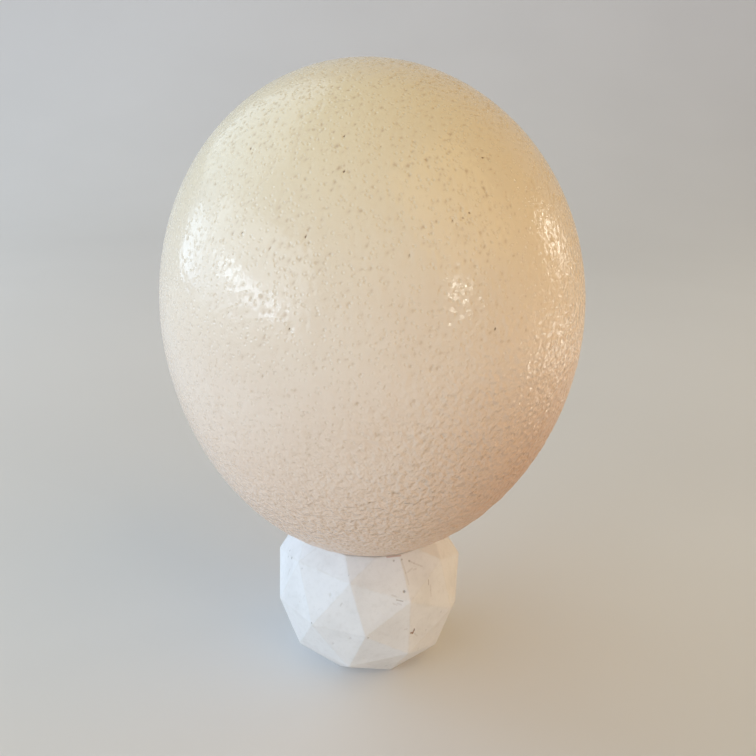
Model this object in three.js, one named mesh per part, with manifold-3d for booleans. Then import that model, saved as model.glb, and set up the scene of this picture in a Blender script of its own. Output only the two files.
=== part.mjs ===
// An ostrich egg standing on a small faceted stand.
//
// Millimetres, +Z up. The origin is the centre of the stand's base, on the surface that it
// stands on. The front is at -Y, with +X to its right.

import * as THREE from 'three';
import { mergeVertices } from 'three/addons/utils/BufferGeometryUtils.js';
import Module from 'manifold-3d';

const wasm = await Module();
wasm.setup();

// ---- driving dimensions ------------------------------------------------------------------

const EGG_LENGTH = 151;
const EGG_WIDTH = 126;
const EGG_TOP_FULLNESS = 0.057; // the upper half is this much fuller than an ellipse
const EGG_END_TAPER = 0.021; // both ends are this much slimmer than an ellipse's
const EGG_BOW = 1.5; // sideways bow of the egg's long axis at its middle
const EGG_LEAN = 2; // degrees that the egg's top leans towards -X
const EGG_LEAN_BACK = 1; // degrees that it leans towards +Y
const EGG_OFFSET = new THREE.Vector2(-2, -1); // the egg's middle, from the stand's axis
const EGG_RINGS = 36;
const EGG_SEGMENTS = 64;

const STAND_RADIUS = 33; // of the sphere on which the facets' corners lie
const STAND_ABOVE = 22.2; // flat top, above the centre of that sphere
const STAND_BELOW = 27; // flat base, below it
const STAND_HEIGHT = STAND_ABOVE + STAND_BELOW;
const STAND_TURN = -32.2; // degrees about Z
const FACET_DETAIL = 1; // each face of an icosahedron is parted into four

const SEAT_DEPTH = 3.5; // how far the egg's lowest point lies below the stand's flat top
const REST_GAP = 0.3; // between the egg and its dish

// ---- solids from meshes, and back --------------------------------------------------------

function solidOf(geometry) {
  const bare = geometry.clone();
  bare.deleteAttribute('normal');
  bare.deleteAttribute('uv');
  const welded = mergeVertices(bare);
  return new wasm.Manifold(new wasm.Mesh({
    numProp: 3,
    vertProperties: Float32Array.from(welded.attributes.position.array),
    triVerts: Uint32Array.from(welded.index.array),
  }));
}

function geometryOf(solid) {
  const mesh = solid.getMesh();
  const geometry = new THREE.BufferGeometry();
  geometry.setAttribute('position', new THREE.BufferAttribute(mesh.vertProperties, mesh.numProp));
  geometry.setIndex(new THREE.BufferAttribute(mesh.triVerts, 1));
  geometry.computeVertexNormals();
  return geometry;
}

// ---- the egg -----------------------------------------------------------------------------

// The egg about its own middle, grown outwards by `grow`. Its outline is an ellipse whose
// radius is multiplied by 1 + fullness * c - taper * c^2, where c runs from -1 at the lower end
// to 1 at the upper end. Each ring is shifted towards +X by the bow, most at the middle.
function eggAboutMiddle(grow = 0) {
  const halfLength = EGG_LENGTH / 2 + grow;
  const halfWidth = EGG_WIDTH / 2 + grow;
  const outline = [];
  for (let ring = 0; ring <= EGG_RINGS; ring += 1) {
    const c = -Math.cos((Math.PI * ring) / EGG_RINGS);
    const ellipseRadius = halfWidth * Math.sqrt(1 - c * c);
    const radius = ellipseRadius * (1 + EGG_TOP_FULLNESS * c - EGG_END_TAPER * c * c);
    outline.push(new THREE.Vector2(radius, halfLength * c));
  }
  const geometry = new THREE.LatheGeometry(outline, EGG_SEGMENTS);
  geometry.rotateX(Math.PI / 2);
  const points = geometry.attributes.position;
  for (let i = 0; i < points.count; i += 1) {
    const c = points.getZ(i) / halfLength;
    points.setX(i, points.getX(i) + EGG_BOW * (1 - c * c));
  }
  const upright = new THREE.Vector3(0, 0, 1);
  const leaning = new THREE.Vector3(
    -Math.sin(THREE.MathUtils.degToRad(EGG_LEAN)),
    Math.sin(THREE.MathUtils.degToRad(EGG_LEAN_BACK)),
    1,
  ).normalize();
  geometry.applyQuaternion(new THREE.Quaternion().setFromUnitVectors(upright, leaning));
  return geometry;
}

// The same egg where it stands, with its lowest point SEAT_DEPTH below the stand's flat top.
function eggInPlace(grow = 0) {
  const resting = eggAboutMiddle();
  resting.computeBoundingBox();
  const middleHeight = STAND_HEIGHT - SEAT_DEPTH - resting.boundingBox.min.z;
  return eggAboutMiddle(grow).translate(EGG_OFFSET.x, EGG_OFFSET.y, middleHeight);
}

// ---- the stand ---------------------------------------------------------------------------

// A ball of flat triangles, cut level at the top and the base, with the egg's dish sunk into
// its top.
function facetedStand() {
  const ball = new THREE.IcosahedronGeometry(STAND_RADIUS, FACET_DETAIL);
  ball.rotateZ(THREE.MathUtils.degToRad(STAND_TURN));
  ball.translate(0, 0, STAND_BELOW);
  const slabWidth = 3 * STAND_RADIUS; // wider than the ball, so that it only cuts above and below
  const slab = new THREE.BoxGeometry(slabWidth, slabWidth, STAND_HEIGHT);
  slab.translate(0, 0, STAND_HEIGHT / 2);
  const cut = solidOf(ball).intersect(solidOf(slab));
  return geometryOf(cut.subtract(solidOf(eggInPlace(REST_GAP))));
}

// ---- materials and the finished object ---------------------------------------------------

const shell = new THREE.MeshStandardMaterial({ color: 0xdccbad, roughness: 0.38, metalness: 0 });

const plaster = new THREE.MeshStandardMaterial({
  color: 0xe4e2de,
  roughness: 0.85,
  metalness: 0,
  flatShading: true,
});

const egg = new THREE.Mesh(geometryOf(solidOf(eggInPlace())), shell);
egg.name = 'egg';

const stand = new THREE.Mesh(facetedStand(), plaster);
stand.name = 'stand';

const eggOnStand = new THREE.Group();
eggOnStand.add(stand, egg);

export default eggOnStand;
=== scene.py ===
"""An ostrich egg that stands, small end down, in the dish of a small white faceted stand.

Everything is in metres, +Z up, with the origin at the centre of the stand's base. The egg and
the stand are surfaces worked out with numpy. Each takes the place of its plain solid in the
frame, and its sizes follow that solid's own dimensions.
"""

import itertools
import logging
import math
from dataclasses import astuple, dataclass, field
from enum import Enum

import bpy
import numpy as np
from mathutils import Euler, Matrix, Vector


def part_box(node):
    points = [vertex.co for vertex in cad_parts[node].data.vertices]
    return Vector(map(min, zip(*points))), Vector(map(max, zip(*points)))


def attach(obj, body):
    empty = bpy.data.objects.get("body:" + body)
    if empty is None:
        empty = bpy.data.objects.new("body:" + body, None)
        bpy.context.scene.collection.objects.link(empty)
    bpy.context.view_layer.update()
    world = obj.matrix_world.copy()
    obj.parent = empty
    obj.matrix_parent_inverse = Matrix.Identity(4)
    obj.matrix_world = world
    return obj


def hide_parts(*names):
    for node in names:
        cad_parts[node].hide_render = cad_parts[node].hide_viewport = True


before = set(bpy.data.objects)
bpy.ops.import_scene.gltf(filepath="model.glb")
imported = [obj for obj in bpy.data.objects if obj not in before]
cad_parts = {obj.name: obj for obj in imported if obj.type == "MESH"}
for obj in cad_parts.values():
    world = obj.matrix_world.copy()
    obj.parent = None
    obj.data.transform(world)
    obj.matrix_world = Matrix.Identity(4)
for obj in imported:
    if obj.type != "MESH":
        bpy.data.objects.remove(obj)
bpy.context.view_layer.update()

log = logging.getLogger("ostrich_egg")

MM = 0.001
IMAGE_SIDE = 756
UP = np.array([0.0, 0.0, 1.0])
HOLE_FLOOR = 0.3  # the share of a hole's radius that lies at full depth
GRAZING = 0.02  # a plane is left out where its normal . direction is less
NEXT_CORNER = 0.4  # touching corners of a unit icosahedron have a dot product above this

Array = np.ndarray
Colour = tuple[float, float, float]
Span = tuple[float, float]


# ---- shared geometry ----


def unit_rows(vectors: Array) -> Array:
    """Return the rows of an array, each made unit length."""
    return vectors / np.linalg.norm(vectors, axis=1, keepdims=True)


class GradientNoise:
    """Smooth random values in space.

    Each corner of a unit lattice holds a random direction. The value at a point is, for each
    of the eight corners round it, that direction's dot product with the offset from the
    corner, blended by the fade 6t^5 - 15t^4 + 10t^3 along each axis.
    """

    TABLE = 256

    def __init__(self, seed: int) -> None:
        """Fill the tables of corner directions.

        Args:
            seed: starts the random numbers.
        """
        rng = np.random.default_rng(seed)
        self.order = rng.permutation(self.TABLE)
        self.directions = unit_rows(rng.normal(size=(self.TABLE, 3)))

    def _corner_directions(self, corners: Array) -> Array:
        """Work out which direction each lattice corner holds, by hashing x, y and z in turn.

        Args:
            corners: an (n, 3) array of whole numbers.

        Returns:
            An (n, 3) array of unit vectors.
        """
        hashed = 0
        for axis in range(3):
            hashed = self.order[(hashed + corners[:, axis]) % self.TABLE]
        return self.directions[hashed]

    def at(self, points: Array, wavelength: float) -> Array:
        """Work out the noise at points.

        Args:
            points: an (n, 3) array.
            wavelength: the lattice's cell size, in metres.

        Returns:
            n values, mostly from -0.5 to 0.5.
        """
        scaled = points / wavelength
        cell = np.floor(scaled).astype(int)
        offset = scaled - cell
        fade = offset**3 * (offset * (offset * 6 - 15) + 10)
        total = np.zeros(len(points))
        for corner in itertools.product((0, 1), repeat=3):
            step = np.array(corner)
            slope = np.sum(self._corner_directions(cell + step) * (offset - step), axis=1)
            total += slope * np.prod(np.where(step, fade, 1 - fade), axis=1)
        return total


def smooth_step(value: Array, low: float, high: float) -> Array:
    """Return 0 below low, 1 above high, and the curve 3t^2 - 2t^3 between them."""
    t = np.clip((value - low) / (high - low), 0.0, 1.0)
    return t * t * (3 - 2 * t)


def vertex_normals(points: Array, quads: Array) -> Array:
    """Work out outward normals.

    A quad's normal is the cross product of its diagonals, and a vertex's is the sum of its
    quads' normals, made unit length.

    Args:
        points: an (n, 3) array of vertices.
        quads: an (m, 4) array of vertex numbers, anticlockwise seen from outside.

    Returns:
        An (n, 3) array of unit vectors.
    """
    corners = points[quads]
    facing = np.cross(corners[:, 2] - corners[:, 0], corners[:, 3] - corners[:, 1])
    total = np.zeros_like(points)
    for side in range(4):
        np.add.at(total, quads[:, side], facing)
    return unit_rows(total)


def mesh_piece(name: str, points: Array, faces: list[list[int]]) -> bpy.types.Object:
    """Make a smooth-shaded mesh object at the origin.

    Args:
        name: the object's name.
        points: an (n, 3) array of vertices, in metres.
        faces: lists of vertex numbers, anticlockwise seen from outside.

    Returns:
        The new object, linked to the scene.
    """
    mesh = bpy.data.meshes.new(name)
    mesh.from_pydata(points.tolist(), [], faces)
    mesh.shade_smooth()
    mesh.update()
    piece = bpy.data.objects.new(name, mesh)
    bpy.context.scene.collection.objects.link(piece)
    return piece


def write_attribute(piece: bpy.types.Object, name: str, values: Array) -> None:
    """Store one number per vertex on a mesh, for its material to read."""
    attribute = piece.data.attributes.new(name, "FLOAT", "POINT")
    attribute.data.foreach_set("value", values.astype(np.float32))


# ---- shader building ----


class Signal:
    """A shader socket that takes part in arithmetic: each operation adds a Math node."""

    def __init__(self, sheet: "Sheet", socket: bpy.types.NodeSocket) -> None:
        """Wrap a socket of a sheet's node tree."""
        self.sheet = sheet
        self.socket = socket

    def _math(self, operation: str, *values: "Signal | float") -> "Signal":
        """Add a Math node with these values in order."""
        return self.sheet.node(
            "ShaderNodeMath", {"operation": operation}, dict(enumerate(values))
        )

    def __add__(self, other: "Signal | float") -> "Signal":
        """Return self + other."""
        return self._math("ADD", self, other)

    __radd__ = __add__

    def __sub__(self, other: "Signal | float") -> "Signal":
        """Return self - other."""
        return self._math("SUBTRACT", self, other)

    def __rsub__(self, other: float) -> "Signal":
        """Return other - self."""
        return self._math("SUBTRACT", other, self)

    def __mul__(self, other: "Signal | float") -> "Signal":
        """Return self * other."""
        return self._math("MULTIPLY", self, other)

    __rmul__ = __mul__

    def is_positive(self) -> "Signal":
        """Return 1 where self is above 0, and 0 elsewhere."""
        return self._math("GREATER_THAN", self, 0.0)

    def clamped(self) -> "Signal":
        """Return self, kept from 0 to 1."""
        return self.sheet.node("ShaderNodeClamp", {}, {"Value": self})

    def between(self, low: float, high: float) -> "Signal":
        """Return 0 below low, 1 above high, and a smooth step between them."""
        return self.sheet.node(
            "ShaderNodeMapRange",
            {"interpolation_type": "SMOOTHSTEP"},
            {"Value": self, "From Min": low, "From Max": high},
        )


class Sheet:
    """A node tree that is filled by code."""

    MIX_SHARE, MIX_FIRST, MIX_SECOND, MIXED = 0, 6, 7, 2  # the Mix node's colour sockets

    def __init__(self, tree: bpy.types.NodeTree, output_kind: str) -> None:
        """Empty the tree and give it an output of the kind named."""
        self.tree = tree
        self.tree.nodes.clear()
        self.output = self.tree.nodes.new(output_kind)

    def feed(self, socket: bpy.types.NodeSocket, value: object) -> None:
        """Link a signal to an input socket, or set the socket's own value."""
        if isinstance(value, Signal):
            self.tree.links.new(value.socket, socket)
        elif isinstance(value, tuple) and socket.type == "RGBA":
            socket.default_value = (*value, 1.0)
        else:
            socket.default_value = value

    def node(
        self, kind: str, settings: dict[str, object], sockets: dict, output: str | int = 0
    ) -> Signal:
        """Add one node.

        Args:
            kind: the node's type name.
            settings: attributes of the node, which are set first.
            sockets: input names or numbers, with the value or signal for each.
            output: the name or number of the output to use.

        Returns:
            That output as a signal.
        """
        node = self.tree.nodes.new(kind)
        for name, value in settings.items():
            setattr(node, name, value)
        for name, value in sockets.items():
            self.feed(node.inputs[name], value)
        return Signal(self, node.outputs[output])

    def mix(self, share: Signal, first: object, second: object) -> Signal:
        """Mix two colours.

        Args:
            share: 0 for the first colour, 1 for the second.
            first: a colour or a signal.
            second: a colour or a signal.

        Returns:
            The mixed colour.
        """
        sockets = {self.MIX_SHARE: share, self.MIX_FIRST: first, self.MIX_SECOND: second}
        return self.node("ShaderNodeMix", {"data_type": "RGBA"}, sockets, self.MIXED)


@dataclass(frozen=True)
class Noise:
    """A noise: how large its blotches are, its finer layers and the levels it runs between."""

    size: float
    detail: float
    levels: Span | None = None


class MaterialSheet(Sheet):
    """One material's node tree, with a Principled shader at its output."""

    def __init__(self, name: str) -> None:
        """Make the material and its shader."""
        self.material = bpy.data.materials.new(name)
        self.material.use_nodes = True
        super().__init__(self.material.node_tree, "ShaderNodeOutputMaterial")
        self.shader = self.tree.nodes.new("ShaderNodeBsdfPrincipled")
        self.tree.links.new(self.shader.outputs["BSDF"], self.output.inputs["Surface"])

    def place(self) -> Signal:
        """Return the point on the piece, in Object coordinates."""
        return self.node("ShaderNodeTexCoord", {}, {}, "Object")

    def coordinate(self, axis: str) -> Signal:
        """Return the point's X, Y or Z, in metres."""
        return self.node("ShaderNodeSeparateXYZ", {}, {"Vector": self.place()}, axis)

    def noise(self, noise: Noise) -> Signal:
        """Read a noise on the piece.

        Args:
            noise: the noise. Where it has levels, it is 0 below them and 1 above them.

        Returns:
            A value from 0 to 1.
        """
        value = self.node(
            "ShaderNodeTexNoise",
            {},
            {"Vector": self.place(), "Scale": 1 / noise.size, "Detail": noise.detail},
            "Fac",
        )
        return value.between(*noise.levels) if noise.levels else value

    def vector(self, operation: str, *values: object, output: str = "Vector") -> Signal:
        """Add a Vector Math node with these values in order."""
        return self.node(
            "ShaderNodeVectorMath", {"operation": operation}, dict(enumerate(values)), output
        )

    def distance_to_line(self, start: Vector, end: Vector) -> Signal:
        """Work out how far the surface is from a short straight line.

        The line's nearest point is start + t * run, where t is (place - start) . run / run^2,
        kept from 0 to 1.

        Args:
            start: one end of the line.
            end: the other, which may be the same.

        Returns:
            The distance, in metres.
        """
        away = self.vector("SUBTRACT", self.place(), tuple(start))
        run = end - start
        if run.length > 0:
            along = self.vector("DOT_PRODUCT", away, tuple(run / run.length_squared), output="Value")
            foot = self.node(
                "ShaderNodeVectorMath",
                {"operation": "SCALE"},
                {"Vector": tuple(run), "Scale": along.clamped()},
            )
            away = self.vector("SUBTRACT", away, foot)
        return self.vector("LENGTH", away, output="Value")

    def attribute(self, name: str) -> Signal:
        """Return a number that the mesh holds for each vertex."""
        return self.node("ShaderNodeAttribute", {"attribute_name": name}, {}, "Fac")

    def bump(self, height: Signal, distance: float, under: Signal | None = None) -> Signal:
        """Tip the normals by a relief.

        Args:
            height: the relief, where a rise of 1 stands for distance.
            distance: metres.
            under: normals that are tipped already, if there are any.

        Returns:
            The tipped normals.
        """
        sockets = {"Height": height, "Distance": distance}
        if under:
            sockets["Normal"] = under
        return self.node("ShaderNodeBump", {}, sockets, "Normal")

    def finish(self, **inputs: object) -> bpy.types.Material:
        """Feed the shader's inputs, named with underscores for spaces.

        Args:
            inputs: the value or signal for each input.

        Returns:
            The finished material.
        """
        for name, value in inputs.items():
            self.feed(self.shader.inputs[name.replace("_", " ").title()], value)
        return self.material


# ---- finishes ----


@dataclass(frozen=True)
class ShellFinish:
    """Ivory eggshell with a low natural gloss, faint mottling and darker pores, and painted shade
    and bounce light at its lower end and lower right.

    Each span holds the two values, such as heights, between which a change comes in.
    """

    ivory: Colour = (0.845, 0.70, 0.545)
    cream: Colour = (0.88, 0.75, 0.60)
    straw: Colour = (0.85, 0.72, 0.485)
    # painted reddish bounce light and shade at the lower end of the shell
    painted_low_bounce: Colour = (0.80, 0.55, 0.425)
    # painted shade and orange bounce light: the lower right of the shell made darker and more orange
    painted_warm_shade: Colour = (0.58, 0.25, 0.08)
    pore_tan: Colour = (0.56, 0.40, 0.24)
    pore_brown: Colour = (0.20, 0.13, 0.08)
    mottle: Noise = Noise(30 * MM, 3.0, (0.35, 0.65))
    mottle_share: float = 0.7
    fleck: Noise = Noise(3.2 * MM, 2.0, (0.35, 0.75))
    straw_span: Span = (115 * MM, 190 * MM)
    # how strongly the painted reddish bounce light tints the lower end
    low_bounce_share: float = 0.4
    # where the painted shade and orange bounce light lies on the lower right, and how strongly
    warm_shade_heights: Span = (60 * MM, 142 * MM)
    warm_shade_sideways: Span = (5 * MM, 54 * MM)
    warm_shade_share: float = 0.85
    # pores up to half again as dark towards the top: the real pore stain plus painted shade of the
    # pits where light rakes across them
    top_pore_shade_span: Span = (145 * MM, 190 * MM)
    top_pore_shade_gain: float = 0.5
    brown_span: Span = (0.75, 1.05)
    pit_span: Span = (0.05, 0.50)
    pit_roughness: float = 0.34
    prick_size: float = 1.4 * MM
    prick_span: Span = (0.08, 0.40)
    prick_depth: float = 0.09 * MM
    prick_stain: float = 0.10
    prick_roughness: float = 0.22
    mound_span: Span = (0.35, 0.72)
    mound_rise: float = 0.15
    ripple: Noise = Noise(1.3 * MM, 1.0)
    ripple_depth: float = 0.014 * MM
    grain: Noise = Noise(0.45 * MM, 1.0)
    grain_depth: float = 0.005 * MM
    wrinkle: Noise = Noise(1.7 * MM, 1.5)
    wrinkle_depth: float = 1.35 * MM
    wrinkle_least: float = 0.02
    wrinkle_span: Span = (60 * MM, 140 * MM)
    wrinkle_slant: float = 0.75
    wrinkle_roughness: float = 0.12
    roughness: float = 0.17

    def material(self) -> bpy.types.Material:
        """Build the material.

        Returns:
            A material that reads the mesh's pore_stain and pore_pit attributes.
        """
        sheet = MaterialSheet("ostrich_shell")
        height = sheet.coordinate("Z")
        sideways = sheet.coordinate("X")
        # 1 at the lower end: where the painted reddish bounce light lies
        low_end = 1 - height.between(*self.wrinkle_span)
        wrinkled = 1 - (height - sideways * self.wrinkle_slant).between(*self.wrinkle_span)
        # mask of the painted shade and orange bounce light on the lower right
        below = 1 - height.between(*self.warm_shade_heights)
        warm_shade_mask = below * sideways.between(*self.warm_shade_sideways)
        mottle = sheet.noise(self.mottle) * self.mottle_share
        fleck = sheet.noise(self.fleck) * (1 - self.mottle_share)
        pale = sheet.mix((mottle + fleck).clamped(), self.ivory, self.cream)
        upper = sheet.mix(height.between(*self.straw_span), pale, self.straw)
        # painted reddish bounce light and shade towards the lower end
        low_bounced = sheet.mix(low_end * self.low_bounce_share, upper, self.painted_low_bounce)
        # painted shade and orange bounce light on the lower right
        ground = sheet.mix(warm_shade_mask * self.warm_shade_share, low_bounced, self.painted_warm_shade)
        from_prick = sheet.node(
            "ShaderNodeTexVoronoi",
            {"feature": "F1"},
            {"Vector": sheet.place(), "Scale": 1 / self.prick_size},
            "Distance",
        )
        prick = 1 - from_prick.between(*self.prick_span)
        mound = 1 - from_prick.between(*self.mound_span)
        pit = sheet.attribute("pore_pit").between(*self.pit_span)
        pore_stain = sheet.attribute("pore_stain")
        # painted shade of the pits towards the top, added to the real pore stain
        top_pore_shade = 1 + height.between(*self.top_pore_shade_span) * self.top_pore_shade_gain
        stain = (pore_stain * top_pore_shade + prick * self.prick_stain).clamped()
        stained = sheet.mix(stain, ground, self.pore_tan)
        colour = sheet.mix(pore_stain.between(*self.brown_span), stained, self.pore_brown)

        hollows = pit * self.pit_roughness + prick * self.prick_roughness
        rough = (self.roughness + hollows + wrinkled * self.wrinkle_roughness).clamped()
        waved = sheet.bump(sheet.noise(self.ripple), self.ripple_depth)
        share = wrinkled * (1 - self.wrinkle_least) + self.wrinkle_least
        folded = sheet.bump(sheet.noise(self.wrinkle) * share, self.wrinkle_depth, waved)
        pricked = sheet.bump(mound * self.mound_rise - prick, self.prick_depth, folded)
        return sheet.finish(
            base_color=colour,
            roughness=rough,
            normal=sheet.bump(sheet.noise(self.grain), self.grain_depth, pricked),
        )


@dataclass(frozen=True)
class FlawLook:
    """How a small flaw looks: its radius, its depth, how much it tints and its colour."""

    radius: float
    depth: float
    darkness: float
    stain: Colour


@dataclass(frozen=True)
class Mark:
    """A flaw in its place: the two ends of its middle line, and its look."""

    start: Vector
    end: Vector
    look: FlawLook


@dataclass(frozen=True)
class PlasterFinish:
    """Matt white casting plaster with cloudy patches, a fine grain, pinholes and scratches."""

    white: Colour = (0.81, 0.795, 0.76)
    cloud: Colour = (0.71, 0.69, 0.65)
    worn_edge: Colour = (0.68, 0.65, 0.56)
    hole_grey: Colour = (0.20, 0.17, 0.15)
    clouds: Noise = Noise(9 * MM, 4.0, (0.40, 0.70))
    cloud_share: float = 0.5
    specks: Noise = Noise(1.6 * MM, 2.0, (0.45, 0.80))
    speck_share: float = 0.4
    speck_roughness: float = 0.1
    wear: Noise = Noise(2.5 * MM, 2.0, (0.35, 0.60))
    wear_share: float = 0.35
    grain: Noise = Noise(0.5 * MM, 3.0)
    grain_depth: float = 0.05 * MM
    roughness: float = 0.78

    def material(self, marks: list[Mark]) -> bpy.types.Material:
        """Build the material.

        Args:
            marks: the flaws, and a painted shadow line along the rim, each in its place on the
                piece.

        Returns:
            A material that reads the mesh's pinhole and worn attributes.
        """
        sheet = MaterialSheet("casting_plaster")
        specks = sheet.noise(self.specks)
        cloudy = sheet.noise(self.clouds) * self.cloud_share + specks * self.speck_share
        ground = sheet.mix(cloudy.clamped(), self.white, self.cloud)
        worn = sheet.attribute("worn") * sheet.noise(self.wear) * self.wear_share
        edged = sheet.mix(worn, ground, self.worn_edge)
        colour = sheet.mix(sheet.attribute("pinhole").clamped(), edged, self.hole_grey)
        relief = sheet.noise(self.grain)
        for mark in marks:
            look = mark.look
            distance = sheet.distance_to_line(mark.start, mark.end)
            nearness = 1 - distance.between(HOLE_FLOOR * look.radius, look.radius)
            colour = sheet.mix(nearness * look.darkness, colour, look.stain)
            relief = relief - nearness * (look.depth / self.grain_depth)
        return sheet.finish(
            base_color=colour,
            roughness=self.roughness + specks * self.speck_roughness,
            normal=sheet.bump(relief, self.grain_depth),
        )


@dataclass(frozen=True)
class BackdropFinish:
    """Plain pale paper."""

    pale: Colour = (0.74, 0.725, 0.70)
    shade: float = 0.97
    clouds: Noise = Noise(200 * MM, 2.0, (0.2, 0.8))
    roughness: float = 0.85

    def material(self) -> bpy.types.Material:
        """Build the material.

        Returns:
            A material with a faint unevenness in its colour.
        """
        sheet = MaterialSheet("backdrop_paper")
        darker = tuple(self.shade * channel for channel in self.pale)
        colour = sheet.mix(sheet.noise(self.clouds), self.pale, darker)
        return sheet.finish(base_color=colour, roughness=self.roughness)


# ---- the egg ----


@dataclass(frozen=True)
class PoreShape:
    """One kind of pore: its share of all pores, its lip's radius, its depth and its stain."""

    share: float
    lip: float
    depth: float
    stain: float


class PoreKind(Enum):
    """The kinds of pore in the shell."""

    FAINT = PoreShape(0.42, 0.52 * MM, 0.08 * MM, 0.22)
    COMMON = PoreShape(0.43, 0.64 * MM, 0.13 * MM, 0.38)
    WIDE = PoreShape(0.149, 0.78 * MM, 0.18 * MM, 0.48)
    DARK = PoreShape(0.001, 0.34 * MM, 0.20 * MM, 1.40)


@dataclass
class OstrichEgg:
    """The egg: an ellipse of revolution, fuller above, slightly bowed and leaning.

    Its surface is a grid of six square patches, a cube blown up to a ball and then shaped.
    The dark pores are given by their azimuth, in degrees from +X towards +Y, and their
    height above the stand's base in millimetres.
    """

    length: float = 151 * MM
    width: float = 126 * MM
    top_fullness: float = 0.057
    end_taper: float = 0.021
    bow: float = 1.5 * MM
    lean: float = 2.0
    lean_back: float = 1.0
    cells: int = 127
    weave: float = 0.007
    weave_size: float = 0.16
    swell_size: float = 5.0 * MM
    swell_depth: float = 0.03 * MM
    pucker_size: float = 3.2 * MM
    pucker_depth: float = 0.26 * MM
    pucker_span: Span = (58 * MM, 132 * MM)
    pucker_slant: float = 0.60
    clearing_size: float = 14 * MM
    pore_chance: float = 0.78
    clearing_chance: float = 0.6
    low_chance: float = 0.2
    pore_scatter: float = 0.12 * MM
    pore_sizes: Span = (0.8, 1.2)
    pore_stains: Span = (0.6, 1.3)
    lip_rise: float = 0.10
    dark_pores: tuple[Span, ...] = (
        (-130, 175), (-57, 174), (-90, 177), (-100, 178), (-72, 162), (-68, 162), (-66, 164),
        (-81, 154), (-98, 170), (-121, 155), (-113, 154), (-106, 156), (-107, 138),
    )
    seed: int = 11
    finish: ShellFinish = field(default_factory=ShellFinish)

    def __post_init__(self) -> None:
        """Find the egg's turn and its place, so that its box sits where the frame's egg is."""
        left, back = math.radians(self.lean), math.radians(self.lean_back)
        leaning = Vector((-math.sin(left), math.sin(back), 1.0))
        self.turn = np.array(Vector(UP).rotation_difference(leaning).to_matrix())
        self.middle = np.zeros(3)
        shape = self.skin(self.ball_grid()[0])
        low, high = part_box("egg")
        self.middle = np.array((low + high) / 2) - (shape.min(axis=0) + shape.max(axis=0)) / 2

    def skin(self, directions: Array, grow: float = 0.0) -> Array:
        """Place points on the smooth egg.

        A unit direction's height c, from -1 to 1, gives the height c * length / 2. Its
        sideways part is scaled by width / 2 * (1 + fullness * c - taper * c^2) and shifted
        along X by bow * (1 - c^2). The whole is then leaned and moved to its place.

        Args:
            directions: an (n, 3) array of unit vectors.
            grow: how much larger than the egg the surface is, in metres.

        Returns:
            An (n, 3) array of points.
        """
        c = directions[:, 2]
        swell = (self.width / 2 + grow) * (1 + self.top_fullness * c - self.end_taper * c * c)
        rise = np.full_like(c, self.length / 2 + grow)
        points = directions * np.column_stack([swell, swell, rise])
        points[:, 0] += self.bow * (1 - c * c)
        return points @ self.turn.T + self.middle

    def ball_grid(self) -> tuple[Array, Array]:
        """Make the ball's grid.

        The points are the surface points of a cubic lattice. A lattice coordinate k from 0 to
        cells becomes tan(45 degrees * (2k / cells - 1)), which spaces the points evenly in
        angle, and each point is then drawn to the unit ball. A gentle weave shifts the points
        along the ball, so that no row of them stays straight.

        Returns:
            An (n, 3) array of unit vectors, and an (m, 4) array of the quads between them.
        """
        steps = np.arange(self.cells + 1)
        first, second = np.meshgrid(steps, steps, indexing="ij")
        patches = []
        for axis, end in itertools.product(range(3), (0, self.cells)):
            patch = np.empty((*first.shape, 3), int)
            patch[..., axis] = end
            patch[..., (axis + 1) % 3] = first if end else second
            patch[..., (axis + 2) % 3] = second if end else first
            patches.append(patch.reshape(-1, 3))
        lattice = np.concatenate(patches)
        side = self.cells + 1
        keys = (lattice[:, 0] * side + lattice[:, 1]) * side + lattice[:, 2]
        _, chosen, numbers = np.unique(keys, return_index=True, return_inverse=True)
        grids = numbers.reshape(6, side, side)
        quads = np.stack(
            [grids[:, :-1, :-1], grids[:, 1:, :-1], grids[:, 1:, 1:], grids[:, :-1, 1:]], axis=-1
        ).reshape(-1, 4)
        spread = np.tan((2 * lattice[chosen] / self.cells - 1) * math.pi / 4)
        ball = unit_rows(spread)
        shift = np.column_stack(
            [GradientNoise(self.seed + axis).at(ball, self.weave_size) for axis in range(3)]
        )
        return unit_rows(ball + self.weave * shift), quads

    def choose_pores(self, points: Array, quads: Array, rng: np.random.Generator) -> Array:
        """Choose which vertices are pores.

        Every vertex draws a number, and one that beats all its neighbours may be a pore, so
        no two pores touch. Clearings thin them out where a slow noise is low, and fewer are
        thinned near the lower end.

        Args:
            points: the vertices.
            quads: the quads between them.
            rng: the random numbers to draw from.

        Returns:
            The pores' vertex numbers.
        """
        draw = rng.random(len(points))
        best_in_quad = draw[quads].max(axis=1)
        best_around = np.zeros(len(points))
        for side in range(4):
            np.maximum.at(best_around, quads[:, side], best_in_quad)
        clearing = GradientNoise(self.seed + 7).at(points, self.clearing_size)
        keep = self.pore_chance + self.clearing_chance * clearing
        keep += self.low_chance * self.low_end(points)
        return np.flatnonzero((draw == best_around) & (rng.random(len(points)) < keep))

    def low_end(self, points: Array) -> Array:
        """Return 1 at the egg's lower end and 0 above, with a slanting edge between them."""
        level = points[:, 2] - self.pucker_slant * points[:, 0]
        return 1 - smooth_step(level, *self.pucker_span)

    def nearest_to_dark(self, places: Array) -> Array:
        """Find the place nearest to each dark pore, along the surface's height and girth.

        Args:
            places: an (n, 3) array of points.

        Returns:
            One row number of places for each dark pore.
        """
        azimuths, heights = np.array(self.dark_pores).T
        turned = np.arctan2(places[:, 1], places[:, 0])[:, None] - np.radians(azimuths)
        girth = turned * np.hypot(places[:, 0], places[:, 1])[:, None]
        return np.hypot(girth, places[:, 2][:, None] - heights * MM).argmin(axis=0)

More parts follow.
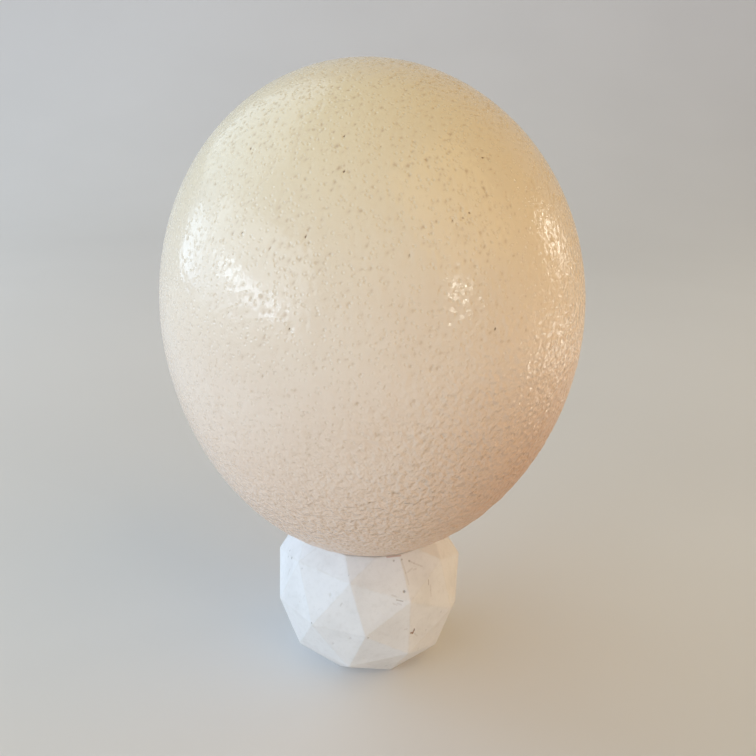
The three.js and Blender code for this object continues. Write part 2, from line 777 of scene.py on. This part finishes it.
    def sink_pores(
        self, points: Array, quads: Array, normals: Array, rng: np.random.Generator
    ) -> tuple[Array, Array, Array]:
        """Sink the pores into the surface.

        A pore's eight neighbours are drawn in along the surface to a ring of the lip's
        radius and raised by lip_rise * depth, and the pore's own vertex goes down by the
        pore's depth. A vertex that two pores draw at takes the middle of the two places.

        Args:
            points: the vertices of the smooth egg.
            quads: the quads between them.
            normals: the vertices' outward normals.
            rng: the random numbers to draw from.

        Returns:
            The moved vertices, each vertex's stain, and 1 at the pores and 0 elsewhere.
        """
        pores = self.choose_pores(points, quads, rng)
        count = len(pores)
        shares, lips, depths, kind_stains = np.array([astuple(kind.value) for kind in PoreKind]).T
        pick = rng.choice(len(shares), count, p=shares)
        pick[self.nearest_to_dark(points[pores])] = list(PoreKind).index(PoreKind.DARK)
        vary = rng.uniform(*self.pore_sizes, count)
        lip = lips[pick] * vary
        depth = depths[pick] * vary
        stain = kind_stains[pick] * rng.uniform(*self.pore_stains, count)

        nudge = rng.normal(0.0, self.pore_scatter, (count, 3))
        nudge -= normals[pores] * np.sum(nudge * normals[pores], axis=1, keepdims=True)
        centres = points[pores] + nudge
        pore_at = np.full(len(points), -1)
        pore_at[pores] = np.arange(count)

        corner_pores = pore_at[quads]
        has_pore = corner_pores.max(axis=1) >= 0
        owner = np.repeat(corner_pores[has_pore].max(axis=1), 4)
        near = quads[has_pore].ravel()
        outside = pore_at[near] < 0
        owner, near = owner[outside], near[outside]
        away = points[near] - centres[owner]
        reach = np.linalg.norm(away, axis=1, keepdims=True)
        target = centres[owner] + away * (lip[owner, None] / reach)
        target += normals[near] * (self.lip_rise * depth[owner, None])

        pulled = np.zeros_like(points)
        pulls = np.zeros(len(points))
        np.add.at(pulled, near, target)
        np.add.at(pulls, near, 1)
        moved = np.where(pulls[:, None] > 0, pulled / np.maximum(pulls, 1)[:, None], points)
        moved[pores] = centres - normals[pores] * depth[:, None]

        stains, pits = np.zeros((2, len(points)))
        stains[pores] = stain
        pits[pores] = 1.0
        log.info("egg: %d pores", count)
        return moved, stains, pits

    def relief(self, points: Array) -> Array:
        """Work out how far the shell stands out.

        Slow noise swells the whole shell, and quicker noise puckers the lower end.

        Args:
            points: the vertices.

        Returns:
            One distance per vertex, in metres.
        """
        swells = self.swell_depth * GradientNoise(self.seed + 8).at(points, self.swell_size)
        puckers = self.pucker_depth * GradientNoise(self.seed + 9).at(points, self.pucker_size)
        return swells + puckers * self.low_end(points)

    def build(self) -> None:
        """Build the egg and dress it, in place of the frame's node."""
        rng = np.random.default_rng(self.seed)
        directions, quads = self.ball_grid()
        smooth = self.skin(directions)
        normals = vertex_normals(smooth, quads)
        sunk, stains, pits = self.sink_pores(smooth, quads, normals, rng)
        points = sunk + normals * self.relief(sunk)[:, None]
        egg = mesh_piece("ostrich_egg", points, quads.tolist())
        write_attribute(egg, "pore_stain", stains)
        write_attribute(egg, "pore_pit", pits)
        egg.data.materials.append(self.finish.material())
        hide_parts("egg")
        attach(egg, "root")
        log.info("egg: %d quads", len(quads))


# ---- the stand ----


class Flaw(Enum):
    """The kinds of flaw on the facets, and a painted shadow line on the rim."""

    HOLE = FlawLook(0.62 * MM, 0.20 * MM, 0.70, (0.26, 0.22, 0.19))
    SPECK = FlawLook(0.48 * MM, 0.08 * MM, 0.50, (0.30, 0.25, 0.20))
    SCRATCH = FlawLook(0.30 * MM, 0.08 * MM, 0.50, (0.30, 0.22, 0.17))
    FAINT = FlawLook(0.36 * MM, 0.06 * MM, 0.20, (0.42, 0.34, 0.27))
    CHIP = FlawLook(0.42 * MM, 0.20 * MM, 0.80, (0.33, 0.16, 0.08))
    # painted shadow line with a reflected warm tint, along the rim where the egg sits close above it
    PAINTED_RIM_SHADE = FlawLook(0.45 * MM, 0.00 * MM, 0.55, (0.50, 0.24, 0.15))


@dataclass(frozen=True)
class Blemish:
    """One flaw's kind and place, and for a line, how far it runs in azimuth and height.

    Azimuths are in degrees from +X towards +Y, and heights are in millimetres.
    """

    kind: Flaw
    azimuth: float
    height: float
    turn: float = 0.0
    rise: float = 0.0


def alike(kind: Flaw, *places: tuple[float, ...]) -> tuple[Blemish, ...]:
    """Return blemishes of one kind, one for each place and run."""
    return tuple(Blemish(kind, *place) for place in places)


@dataclass
class FacetedStand:
    """The stand: a ball of flat triangles, cut level above and below, with a dish on top.

    Its surface is one grid. Columns run round the axis, and rows run from the middle of the
    base, out and up the facets, in across the flat rim and down the dish. The cuts lie above
    and below the ball's centre, and no pinhole reaches nearer to the axis than hidden_core.
    """

    egg: OstrichEgg
    radius: float = 33 * MM
    above: float = 22.2 * MM
    below: float = 27 * MM
    turn: float = -32.2
    rest_gap: float = 0.3 * MM
    arris: float = 0.06 * MM
    worn: float = 0.14 * MM
    columns: int = 600
    base_rows: int = 10
    base_start: float = 0.04
    side_rows: int = 110
    crowding: float = 0.25
    rim_rows: int = 8
    dish_rows: int = 14
    dish_reach: float = -0.5
    halvings: int = 30
    wave_size: float = 11 * MM
    wave_depth: float = 0.10 * MM
    wave_from_base: Span = (0.3 * MM, 2 * MM)
    wave_from_top: Span = (0.2 * MM, 0.6 * MM)
    random_holes: int = 60
    hole_heights: Span = (4 * MM, 46.2 * MM)
    hole_radii: Span = (0.25 * MM, 0.5 * MM)
    hole_darkness: Span = (0.1, 0.6)
    hole_depth: float = 0.7
    hidden_core: float = 6.6 * MM
    seed: int = 5
    blemishes: tuple[Blemish, ...] = (
        *alike(Flaw.HOLE, (-156, 41), (-66.5, 40)),
        *alike(Flaw.SPECK, (-165, 41), (-162.5, 39.5), (-123, 27.5), (-89, 26.5)),
        *alike(Flaw.SPECK, (-69.5, 48), (-63, 48), (-57, 47)),
        *alike(Flaw.FAINT, (-153, 38, 0, -2.5), (-136, 31), (-106.5, 35.5, 1, 1), (-67, 27, 1.5)),
        *alike(Flaw.SCRATCH, (-72, 38, 3.5, -0.5)),
        *alike(Flaw.FAINT, (-74.5, 39.5, 2.5, -0.5), (-71.5, 37, 2, -0.5), (-74, 37, 2, -0.5)),
        *alike(Flaw.CHIP, (-63, 25, 1.5, -0.5), (-61.5, 24.5, 1, 1)),
        *alike(Flaw.SCRATCH, (-60.5, 25, 0, 1)),
        *alike(Flaw.FAINT, (-60, 24, 2, -1.5)),
        *alike(Flaw.SCRATCH, (-47, 40.5, -0.5, -1.5)),
        *alike(Flaw.FAINT, (-46, 38.5, -0.5, -1.5), (-46.5, 37, -0.5, -2), (-56.5, 47, 3, -1)),
        *alike(Flaw.FAINT, (-53.5, 46, 5.5, -1.5), (-60.5, 44.5, 4, 0.5), (-55.5, 44.5, 2)),
        *alike(Flaw.FAINT, (-63, 47.5, 0.5, -3), (-62.5, 44.5, 0, -3)),
        # painted reddish shadow line along the rim under the egg
        *alike(Flaw.PAINTED_RIM_SHADE, (-74.5, 49.1, 11)),
    )
    finish: PlasterFinish = field(default_factory=PlasterFinish)

    def __post_init__(self) -> None:
        """Work out the body's planes, the ball's centre and the columns' level directions."""
        ends = np.array([[0.0, 0.0, 1.0, self.above], [0.0, 0.0, -1.0, self.below]])
        self.planes = np.concatenate([self.facet_planes(), ends])
        self.centre = self.below * UP
        azimuth = 2 * math.pi * np.arange(self.columns) / self.columns
        level = np.zeros(self.columns)
        self.round_unit = np.column_stack([np.cos(azimuth), np.sin(azimuth), level])

    def facet_planes(self) -> Array:
        """Work out the planes of the ball's eighty facets.

        The corners of an icosahedron are (0, +-1, +-golden ratio) and its turns. Each of its
        faces is parted into four at the middles of its edges, which are drawn out to the
        ball. A facet's plane has the unit normal n and lies at n . corner from the centre.

        Returns:
            An (80, 4) array of the normals and distances.
        """
        golden = (1 + math.sqrt(5)) / 2
        signs = np.array(list(itertools.product((-1, 1), repeat=2)))
        flat = np.column_stack([np.zeros(4), signs[:, 0], signs[:, 1] * golden])
        corners = unit_rows(np.concatenate([np.roll(flat, turn, axis=1) for turn in range(3)]))
        touching = corners @ corners.T > NEXT_CORNER
        a, b, c = np.nonzero(touching[:, :, None] & touching[None, :, :] & touching[:, None, :])
        once = (a < b) & (b < c)
        a, b, c = corners[a[once]], corners[b[once]], corners[c[once]]
        ab, bc, ca = unit_rows(a + b), unit_rows(b + c), unit_rows(c + a)
        parts = (a, ab, ca), (b, bc, ab), (c, ca, bc), (ab, bc, ca)
        facets = np.concatenate([np.stack(part, axis=1) for part in parts])
        normals = unit_rows(np.cross(facets[:, 1] - facets[:, 0], facets[:, 2] - facets[:, 0]))
        distances = np.sum(normals * facets[:, 0], axis=1)
        normals *= np.sign(distances)[:, None]
        normals = normals @ np.array(Matrix.Rotation(math.radians(self.turn), 3, "Z")).T
        return np.column_stack([normals, np.abs(distances) * self.radius])

    def meets(self, directions: Array) -> Array:
        """Return how far off each plane is met along each direction, one column a plane."""
        return self.planes[:, 3] / np.maximum(directions @ self.planes[:, :3].T, GRAZING)

    def reach(self, directions: Array) -> Array:
        """Work out how far the body reaches from the ball's centre along unit directions.

        A plane is met at distance / (normal . direction), and the body ends at the nearest.
        The soft minimum -s * ln(sum of exp(-reach / s)) rounds every edge a little.

        Args:
            directions: an (n, 3) array of unit vectors.

        Returns:
            n distances, in metres.
        """
        met = self.meets(directions)
        nearest = met.min(axis=1)
        softer = np.exp((nearest[:, None] - met) / self.arris).sum(axis=1)
        return nearest - self.arris * np.log(softer)

    def arris_shading(self, points: Array) -> tuple[Array, Array]:
        """Work out the body's normals from its flats, and how near each point is to an arris.

        Each flat's normal counts by exp(-how much farther off than the nearest it is / arris).

        Args:
            points: points of the base and the facets.

        Returns:
            Unit normals, and a nearness that falls from 1 on an arris to 0.
        """
        met = self.meets(unit_rows(points - self.centre))
        two = np.partition(met, 1, axis=1)[:, :2]
        weights = np.exp((two[:, :1] - met) / self.arris)
        normals = unit_rows(weights @ self.planes[:, :3])
        return normals, 1 - smooth_step(two[:, 1] - two[:, 0], 0.0, self.worn)

    def outline_angle(self, level: float) -> Array:
        """Find, for each column, the angle below +Z at which the facets reach a level.

        Args:
            level: a height above the ball's centre, in metres.

        Returns:
            One angle per column.
        """
        sideways = self.round_unit @ self.planes[:, :3].T
        room = self.planes[:, 3] - level * self.planes[:, 2]
        outward = np.where(sideways > GRAZING, room / np.maximum(sideways, GRAZING), np.inf)
        return np.arctan2(outward.min(axis=1), level)

    def dish_rings(self) -> Array:
        """Work out the dish's rings of points, from its edge to its middle.

        The dish is the egg grown by the gap. In each column it runs from the egg's lower end,
        c = -1, to the c at which it comes up to the flat top. That c is found by halving the
        interval from -1 to dish_reach.

        Returns:
            A (rows, columns, 3) array. The last ring is still a little short of the middle.
        """
        low = np.full(self.columns, -1.0)
        high = np.full(self.columns, self.dish_reach)
        for _ in range(self.halvings):
            half = (low + high) / 2
            under = self.egg_points(half)[:, 2] < self.above + self.below
            low, high = np.where(under, half, low), np.where(under, high, half)
        shares = np.linspace(1.0, 0.0, self.dish_rows, endpoint=False)
        return np.stack([self.egg_points(-1 + (low + 1) * share**2) for share in shares])

    def egg_points(self, c: Array) -> Array:
        """Return the grown egg's point in each column, at the height c from -1 to 1."""
        sideways = np.sqrt(np.maximum(1 - c * c, 0))
        directions = self.round_unit * sideways[:, None] + UP * c[:, None]
        return self.egg.skin(directions, self.rest_gap)

    def body_rings(self) -> Array:
        """Work out the rings of the base and the facets.

        In each column the angle below +Z runs from the middle of the base to the base's edge
        and on to the rim, with rows drawn together near both edges by a cosine.

        Returns:
            A (rows, columns, 3) array of points.
        """
        rim = self.outline_angle(self.above)
        base = self.outline_angle(-self.below)
        out = np.linspace(self.base_start, 1.0, self.base_rows, endpoint=False)
        base_angles = math.pi - (math.pi - base)[None] * out[:, None]
        even = np.linspace(0.0, 1.0, self.side_rows)
        crowded = (1 - np.cos(math.pi * even)) / 2
        share = self.crowding * crowded + (1 - self.crowding) * even
        side_angles = base[None] + (rim - base)[None] * share[:, None]
        angles = np.concatenate([base_angles, side_angles])[..., None]
        directions = np.sin(angles) * self.round_unit + np.cos(angles) * UP
        reach = self.reach(directions.reshape(-1, 3)).reshape(angles.shape)
        return directions * reach + self.centre

    def build(self) -> None:
        """Build the stand and dress it, in place of the frame's node.

        The facets' normals are those of their flats, bent as the waves and holes bend them.
        """
        body = self.body_rings()
        dish = self.dish_rings()
        inward = np.linspace(0.0, 1.0, self.rim_rows + 1, endpoint=False)[1:]
        rim = body[-1][None] + (dish[0] - body[-1])[None] * inward[:, None, None]
        rings = np.concatenate([body, rim, dish])
        plain = rings.reshape(-1, 3)
        points, holes = self.roughen(plain)
        numbers = np.arange(len(plain)).reshape(rings.shape[:2])
        turned = np.roll(numbers, -1, axis=1)
        quads = np.stack([numbers[:-1], turned[:-1], turned[1:], numbers[1:]], axis=-1)
        quads = quads.reshape(-1, 4)
        normals = vertex_normals(points, quads)
        on_body = body.size // 3
        flat_normals, worn = self.arris_shading(plain[:on_body])
        bent = normals[:on_body] - vertex_normals(plain, quads)[:on_body]
        normals[:on_body] = flat_normals + bent

        ends = points[numbers[[0, -1]]].mean(axis=1)
        points = np.concatenate([points, ends])
        normals = unit_rows(np.concatenate([normals, [-UP, UP]]))
        first, last = np.full((2, self.columns), [[len(plain)], [len(plain) + 1]])
        base_fan = np.column_stack([first, turned[0], numbers[0]])
        dish_fan = np.column_stack([last, numbers[-1], turned[-1]])
        faces = quads.tolist() + base_fan.tolist() + dish_fan.tolist()
        stand = mesh_piece("faceted_stand", points, faces)
        stand.data.normals_split_custom_set_from_vertices(normals)
        write_attribute(stand, "pinhole", np.pad(holes, (0, len(ends))))
        write_attribute(stand, "worn", np.pad(worn, (0, len(points) - on_body)))
        stand.data.materials.append(self.finish.material(self.marks()))
        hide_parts("stand")
        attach(stand, "root")
        log.info("stand: %d faces", len(faces))

    def roughen(self, points: Array) -> tuple[Array, Array]:
        """Give the cast surface its slight waves and its pinholes.

        The waves fade out next to the base and the top. A pinhole is a round hollow about
        the level line that leaves the axis at its azimuth.

        Args:
            points: the rings' points.

        Returns:
            The moved points, and each point's pinhole darkness from 0 to 1.
        """
        height = points[:, 2]
        from_top = self.above + self.below - height
        wavy = smooth_step(height, *self.wave_from_base) * smooth_step(from_top, *self.wave_from_top)
        waves = self.wave_depth * GradientNoise(self.seed).at(points, self.wave_size)
        sink = -waves * wavy
        holes = np.zeros(len(points))
        for azimuth, level, radius, darkness in self.pinholes():
            aim = np.array([math.cos(azimuth), math.sin(azimuth)])
            ahead = points[:, :2] @ aim > self.hidden_core
            near = np.flatnonzero(ahead & (np.abs(height - level) < radius))
            across = points[near, 0] * -aim[1] + points[near, 1] * aim[0]
            distance = np.hypot(across, height[near] - level) / radius
            share = 1 - smooth_step(distance, HOLE_FLOOR, 1.0)
            sink[near] += self.hole_depth * radius * share
            holes[near] = np.maximum(holes[near], darkness * share)
        return points - unit_rows(points - self.centre) * sink[:, None], holes

    def pinholes(self) -> Array:
        """Scatter small holes over the facets.

        Returns:
            A row for each hole: its azimuth in radians, height, radius and darkness.
        """
        rng = np.random.default_rng(self.seed)
        heights = rng.uniform(*self.hole_heights, self.random_holes)
        azimuths = np.radians(rng.uniform(0, 360, self.random_holes))
        radii = rng.uniform(*self.hole_radii, self.random_holes)
        darkness = rng.uniform(*self.hole_darkness, self.random_holes)
        return np.column_stack([azimuths, heights, radii, darkness])

    def facet_point(self, azimuth: float, height: float) -> Vector:
        """Find the point of the facets at an azimuth and a height.

        Level with the height h above the ball's centre, a facet of normal n and distance d
        is (d - h * nz) / (n . outward) from the axis, and the nearest facet counts.

        Args:
            azimuth: degrees from +X towards +Y.
            height: millimetres above the base.

        Returns:
            The point.
        """
        outward = np.array([math.cos(math.radians(azimuth)), math.sin(math.radians(azimuth))])
        facing = self.planes[:, :2] @ outward
        room = self.planes[:, 3] - (height * MM - self.below) * self.planes[:, 2]
        ahead = facing > 0
        radius = (room[ahead] / facing[ahead]).min()
        return Vector((*(outward * radius), height * MM))

    def marks(self) -> list[Mark]:
        """Return the blemishes as marks in their places."""
        return [
            Mark(
                self.facet_point(flaw.azimuth, flaw.height),
                self.facet_point(flaw.azimuth + flaw.turn, flaw.height + flaw.rise),
                flaw.kind.value,
            )
            for flaw in self.blemishes
        ]


# ---- the studio ----


@dataclass
class Backdrop:
    """A sheet of pale paper: a level floor that sweeps up into a wall behind the egg."""

    half_width: float = 2.5
    front: float = -1.6
    back: float = 0.7
    sweep: float = 1.0
    sweep_points: int = 25
    height: float = 2.2
    finish: BackdropFinish = field(default_factory=BackdropFinish)

    def build(self) -> None:
        """Build the backdrop.

        The outline runs level from front to back, round a quarter circle of the sweep's
        radius and up. It is carried along X from one side to the other.
        """
        bend = np.linspace(-math.pi / 2, 0.0, self.sweep_points)
        along = self.back + self.sweep * np.cos(bend)
        along = np.concatenate([[self.front], along, [self.back + self.sweep]])
        upward = np.concatenate([[0.0], self.sweep * (1 + np.sin(bend)), [self.height]])
        sides = np.tile([-self.half_width, self.half_width], len(along))
        points = np.column_stack([sides, np.repeat(along, 2), np.repeat(upward, 2)])
        start = 2 * np.arange(len(along) - 1)
        faces = np.column_stack([start, start + 1, start + 3, start + 2])
        backdrop = mesh_piece("backdrop", points, faces.tolist())
        backdrop.data.materials.append(self.finish.material())
        log.info("backdrop: %d faces", len(faces))


class Tint(Enum):
    """The colours of the room's lights, from the bluest to the reddest."""

    COOL = (0.65, 0.81, 1.0)
    HAZE = (0.72, 0.86, 1.0)
    PALE = (0.98, 0.97, 0.88)
    WARM = (1.0, 0.62, 0.13)
    EMBER = (1.0, 0.40, 0.13)


@dataclass(frozen=True)
class SoftLight:
    """A rectangular soft light: its direction, distance, size, power in watts and tint.

    The azimuth is 0 at the front, -Y, and grows towards +X. The roll turns the rectangle
    about the line to the egg. All angles are in degrees.
    """

    name: str
    azimuth: float
    elevation: float
    distance: float
    width: float
    height: float
    power: float
    tint: Tint
    roll: float = 0.0
    spread: float = 180.0

    def build(self, aim: Vector) -> None:
        """Hang the light so that it faces a point.

        Args:
            aim: the point that it faces.
        """
        lamp = bpy.data.lights.new(self.name, "AREA")
        lamp.shape = "RECTANGLE"
        lamp.size = self.width
        lamp.size_y = self.height
        lamp.energy = self.power
        lamp.color = self.tint.value
        lamp.spread = math.radians(self.spread)
        azimuth, elevation = math.radians(self.azimuth), math.radians(self.elevation)
        level = Vector((math.sin(azimuth), -math.cos(azimuth), 0.0))
        outward = level * math.cos(elevation) + Vector(UP) * math.sin(elevation)
        light = bpy.data.objects.new(self.name, lamp)
        light.location = aim + outward * self.distance
        facing = (-outward).to_track_quat("-Z", "Y").to_matrix()
        turned = facing @ Matrix.Rotation(math.radians(self.roll), 3, "Z")
        light.rotation_euler = turned.to_euler()
        light.visible_camera = False
        bpy.context.scene.collection.objects.link(light)
        log.info("light: %s", self.name)


@dataclass(frozen=True)
class RoomGlow:
    """The dim room all round, with one colour of glow towards each side.

    In a unit direction d the glow is the sum, over the six sides, of the side's colour times
    max(0, d . side)^2, so each side fades smoothly into the next.
    """

    left: Colour = (0.10, 0.22, 0.58)
    right: Colour = (0.31, 0.08, 0.0)
    front: Colour = (0.69, 0.735, 0.85)
    back: Colour = (0.58, 0.55, 0.50)
    below: Colour = (0.30, 0.30, 0.30)
    above: Colour = (0.36, 0.36, 0.21)
    seen: Colour = (0.62, 0.61, 0.59)

    def build(self) -> bpy.types.World:
        """Build the glow.

        Along each axis the square of d gives the strength, and its sign picks the side. Past
        the edges of the backdrop the camera sees one plain pale colour instead.

        Returns:
            The world that holds it.
        """
        world = bpy.data.worlds.new("room_glow")
        world.use_nodes = True
        sheet = Sheet(world.node_tree, "ShaderNodeOutputWorld")
        direction = sheet.node("ShaderNodeTexCoord", {}, {}, "Generated")
        pairs = {
            "X": (self.left, self.right),
            "Y": (self.front, self.back),
            "Z": (self.below, self.above),
        }
        glows = []
        for axis, (low, high) in pairs.items():
            along = sheet.node("ShaderNodeSeparateXYZ", {}, {"Vector": direction}, axis)
            colour = sheet.mix(along.is_positive(), low, high)
            glows.append(
                sheet.node("ShaderNodeBackground", {}, {"Color": colour, "Strength": along * along})
            )
        two = sheet.node("ShaderNodeAddShader", {}, {0: glows[0], 1: glows[1]})
        total = sheet.node("ShaderNodeAddShader", {}, {0: two, 1: glows[2]})
        in_view = sheet.node("ShaderNodeLightPath", {}, {}, "Is Camera Ray")
        plain = sheet.node("ShaderNodeBackground", {}, {"Color": self.seen})
        sheet.feed(
            sheet.output.inputs["Surface"],
            sheet.node("ShaderNodeMixShader", {}, {0: in_view, 1: total, 2: plain}),
        )
        return world


@dataclass
class Studio:
    """The soft lights, the glow of the room and the camera."""

    aim: tuple[float, float, float] = (0.0, 0.0, 0.115)
    glow: RoomGlow = field(default_factory=RoomGlow)
    lights: tuple[SoftLight, ...] = (
        SoftLight("left_room", -66, 14, 1.4, 1.80, 0.90, 9.8, Tint.HAZE),
        SoftLight("left_window", -107, 8, 1.1, 0.36, 0.34, 1.25, Tint.COOL),
        SoftLight("long_window", -64, 8, 1.1, 0.86, 0.07, 1.9, Tint.COOL, roll=-10),
        SoftLight("left_behind", -120, 40, 1.5, 1.40, 1.20, 5.5, Tint.COOL),
        SoftLight("right_above", 60, 45, 1.5, 1.30, 1.30, 5.3, Tint.WARM),
        SoftLight("right_room", 90, 12, 1.1, 0.80, 0.80, 0.5, Tint.WARM),
        SoftLight("right_low", 80, -6, 0.6, 0.50, 0.08, 0.10, Tint.EMBER),
        SoftLight("right_window", 114, 11, 1.1, 0.11, 0.33, 0.9, Tint.PALE),
        SoftLight("lamp", 44, 14, 1.1, 0.045, 0.035, 0.55, Tint.PALE),
        SoftLight("low_glint", 106, -14, 0.35, 0.05, 0.05, 0.011, Tint.PALE, spread=60),
    )
    camera_place: tuple[float, float, float] = (1.5 * MM, -226.4 * MM, 189.3 * MM)
    camera_pitch: float = 21.1
    camera_roll: float = 1.5
    focal_pixels: float = 758.0
    sensor: float = 36.0
    clip_start: float = 10 * MM

    def build(self) -> None:
        """Hang the lights, fill in the room's glow and set up the camera."""
        for light in self.lights:
            light.build(Vector(self.aim))
        bpy.context.scene.world = self.glow.build()
        bpy.context.scene.view_settings.view_transform = "Standard"
        self.build_camera()

    def build_camera(self) -> None:
        """Place the camera in front of the egg, looking down at it."""
        data = bpy.data.cameras.new("camera")
        data.sensor_width = self.sensor
        data.lens = self.sensor * self.focal_pixels / IMAGE_SIDE
        data.clip_start = self.clip_start
        camera = bpy.data.objects.new("camera", data)
        down = Euler((math.radians(90 - self.camera_pitch), 0.0, 0.0)).to_matrix()
        roll = Matrix.Rotation(math.radians(self.camera_roll), 3, "Z")
        camera.matrix_world = Matrix.LocRotScale(Vector(self.camera_place), down @ roll, None)
        bpy.context.scene.collection.objects.link(camera)
        bpy.context.scene.camera = camera
        log.info("camera: %.1f mm lens", data.lens)


# ---- the whole ----


def main() -> None:
    """Build the egg, the stand and the studio."""
    logging.basicConfig(level=logging.INFO, format="%(name)s %(message)s")
    egg = OstrichEgg()
    egg.build()
    FacetedStand(egg).build()
    Backdrop().build()
    Studio().build()


if __name__ == "__main__":
    main()
